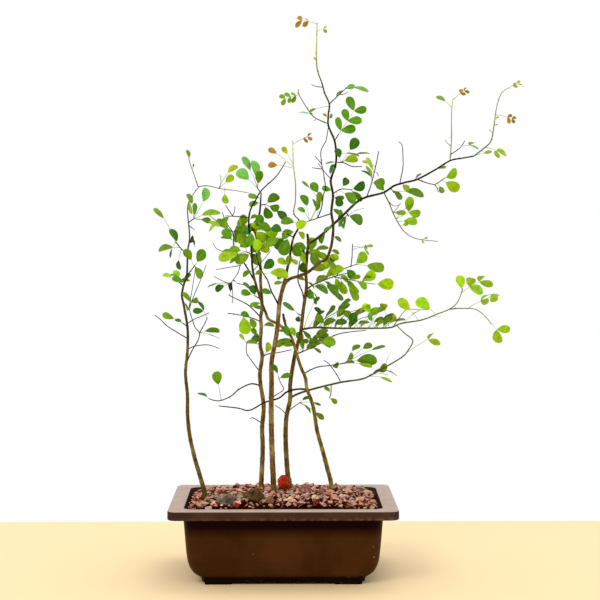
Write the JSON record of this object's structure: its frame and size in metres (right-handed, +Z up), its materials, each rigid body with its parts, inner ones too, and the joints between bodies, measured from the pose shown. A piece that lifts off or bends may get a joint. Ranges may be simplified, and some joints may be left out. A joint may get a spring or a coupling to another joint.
{
  "type": "divi-divi bonsai forest",
  "caption": "Slender young trees with small compound leaves, grouped as a forest in a low rectangular training pot of brown plastic filled with lava gravel.",
  "frame": {"origin": "on the surface that the pot stands on, under the middle of the whole object's box; the pot's own middle is 0.0477 m to the left of it", "axes": "+Z up; +X to the right along the pot's long side, towards the long branches; the pot's front faces -Y"},
  "size_m": [0.3238, 0.15, 0.4995],
  "materials": {
    "brown_plastic": "satin moulded plastic, scuffed and dusty",
    "screen_mesh": "black plastic mesh",
    "lava_gravel": "rough broken lava and pumice, red-brown to purple-grey",
    "bark": "thin olive-brown bark, finely fissured",
    "leaf_green": "thin matt leaflets, bright to dark green, on fine brown twigs",
    "leaf_young": "young leaflets and shoot, yellow-green to orange-brown",
    "stone_red": "rough red-orange lava stone",
    "stone_pointed": "grey-brown broken stone",
    "stone_dark": "dark olive-brown porous rock",
    "stone_pink": "pink porous stone"
  },
  "bodies": {
    "root": {"drain_screen_left": "screen_mesh", "drain_screen_right": "screen_mesh", "growing_mix": "lava_gravel", "pot": "brown_plastic", "shoot_1_arch": "leaf_green", "shoot_1_back": "leaf_green", "shoot_1_fork": "leaf_green", "shoot_1_mid": "leaf_green", "shoot_1_out": "leaf_green", "shoot_1_side": "leaf_green", "shoot_1_top": "leaf_green", "shoot_2_high": "leaf_green", "shoot_2_left": "leaf_green", "shoot_2_low": "leaf_green", "shoot_2_mid": "leaf_green", "shoot_2_right": "leaf_green", "shoot_2_spur": "leaf_green", "shoot_3_crown": "leaf_green", "shoot_3_face": "leaf_green", "shoot_3_high_left": "leaf_green", "shoot_3_high_right": "leaf_green", "shoot_3_inner": "leaf_green", "shoot_3_low": "leaf_green", "shoot_3_pale": "leaf_young", "shoot_3_red": "leaf_green", "shoot_3_right_low": "leaf_green", "shoot_3_right_mid": "leaf_green", "shoot_3_top": "leaf_young", "shoot_4_diag_down": "leaf_green", "shoot_4_diag_fork": "leaf_green", "shoot_4_diag_low": "leaf_green", "shoot_4_diag_mid": "leaf_green", "shoot_4_diag_stem": "leaf_green", "shoot_4_diag_up": "leaf_green", "shoot_4_end": "leaf_green", "shoot_4_foot": "leaf_green", "shoot_4_inner": "leaf_green", "shoot_4_low": "leaf_green", "shoot_4_mid": "leaf_green", "shoot_4_mid_low": "leaf_green", "shoot_4_second": "leaf_green", "shoot_4_top": "leaf_green", "shoot_4_upper": "leaf_green", "shoot_5_crown": "leaf_green", "shoot_5_face": "leaf_green", "shoot_5_in": "leaf_green", "shoot_5_limb": "leaf_green", "shoot_5_low": "leaf_green", "shoot_5_right": "leaf_green", "shoot_5_side": "leaf_green", "stone_dark": "stone_dark", "stone_pink": "stone_pink", "stone_pointed": "stone_pointed", "stone_red": "stone_red", "tree_1": "bark", "tree_2": "bark", "tree_3": "bark", "tree_4": "bark", "tree_5": "bark"}
  },
  "joints": []
}
